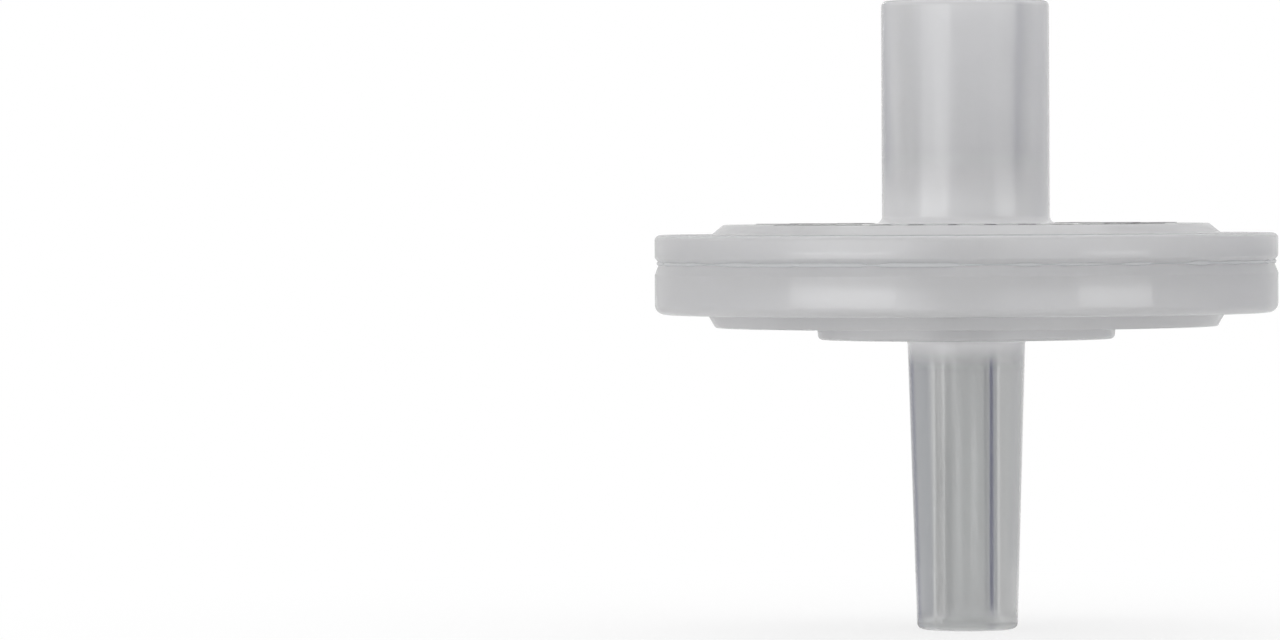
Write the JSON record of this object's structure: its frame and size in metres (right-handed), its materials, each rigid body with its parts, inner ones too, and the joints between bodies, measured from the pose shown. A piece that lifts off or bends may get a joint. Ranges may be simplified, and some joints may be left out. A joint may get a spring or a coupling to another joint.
{
  "type": "syringe filter",
  "caption": "Disposable round syringe filter: flat translucent plastic disc with a plain Luer socket hub on top and a long tapered Luer outlet tip below.",
  "frame": {"origin": "centre of the outlet tip's flat end, on the flow axis", "axes": "+Z along the flow axis from the outlet tip up to the mouth of the inlet socket; the filter stands on its tip with the disc level; +X lies along one of the main flow channels inside, and nothing outside tells X from Y"},
  "size_m": [0.025, 0.025, 0.0252],
  "materials": {
    "polypropylene": "milky translucent moulded polypropylene, smooth",
    "membrane": "matt white porous polyester film"
  },
  "bodies": {
    "root": {"inlet_housing": "polypropylene", "outlet_housing": "polypropylene", "filter_membrane": "membrane"}
  },
  "joints": []
}
